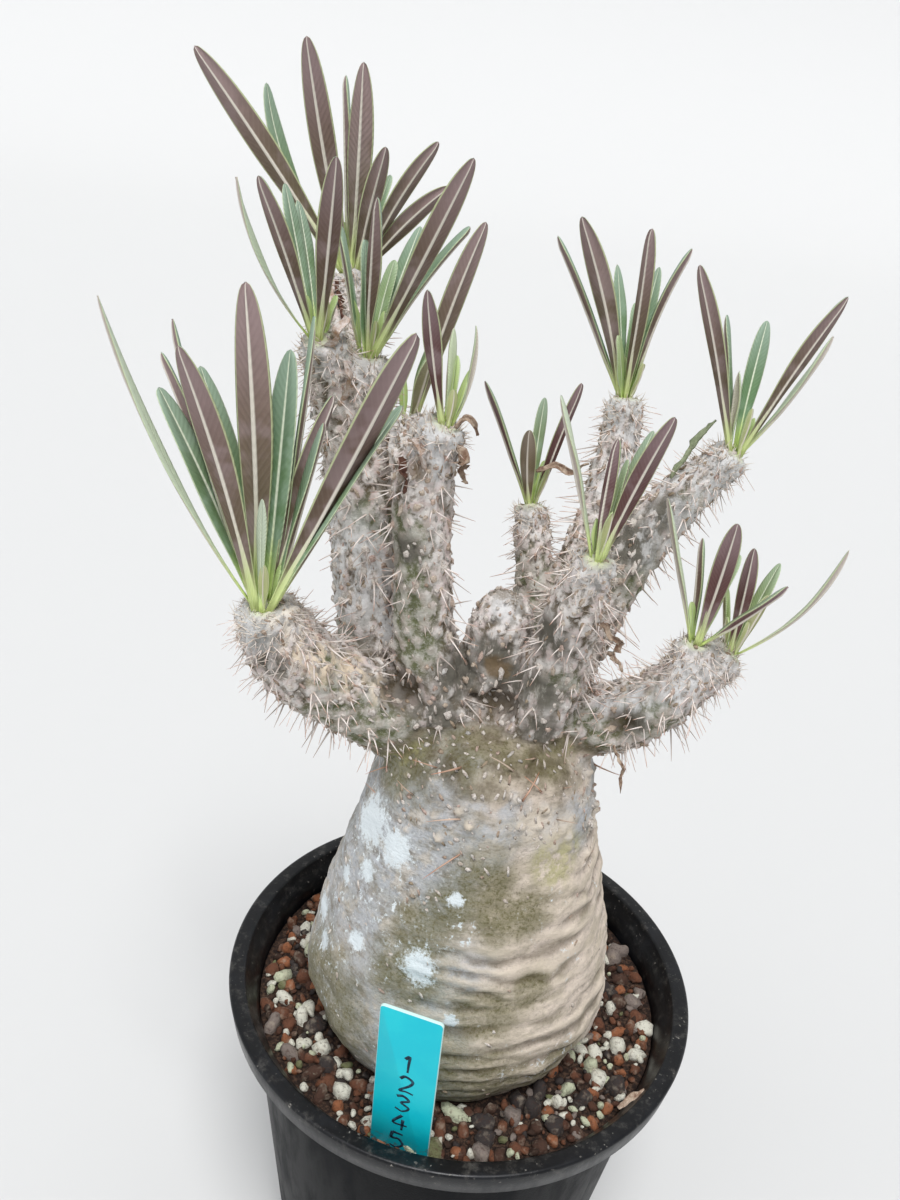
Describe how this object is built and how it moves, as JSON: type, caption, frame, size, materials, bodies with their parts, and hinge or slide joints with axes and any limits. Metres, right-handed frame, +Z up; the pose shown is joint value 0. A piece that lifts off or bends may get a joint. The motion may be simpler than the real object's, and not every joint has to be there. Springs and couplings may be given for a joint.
{
  "type": "potted pachypodium gracilius",
  "caption": "Swollen caudex with upright spiny arms and tufts of strap leaves, standing in gritty soil in a round black nursery pot with a bare plant label.",
  "frame": {"origin": "centre of the pot's flat base", "axes": "+Z up along the pot's axis, -Y towards the side with the plant label, +X to the right seen from that side"},
  "size_m": [0.1425, 0.12, 0.3142],
  "materials": {
    "black_plastic": "satin",
    "gritty_soil": "matte",
    "caudex_bark": "matte",
    "leaf_green": "satin",
    "label_plastic": "satin"
  },
  "bodies": {
    "root": {"pot": "black_plastic", "soil": "gritty_soil", "caudex": "caudex_bark", "label": "label_plastic", "leaves_left_arm": "leaf_green", "leaves_top_left": "leaf_green", "leaves_top_middle": "leaf_green", "leaves_top_back": "leaf_green", "leaves_middle_back": "leaf_green", "leaves_middle_front": "leaf_green", "leaves_short_back": "leaf_green", "leaves_front_right": "leaf_green", "leaves_upper_right": "leaf_green", "leaves_far_right": "leaf_green", "leaves_low_right_left": "leaf_green", "leaves_low_right_right": "leaf_green"}
  },
  "joints": []
}
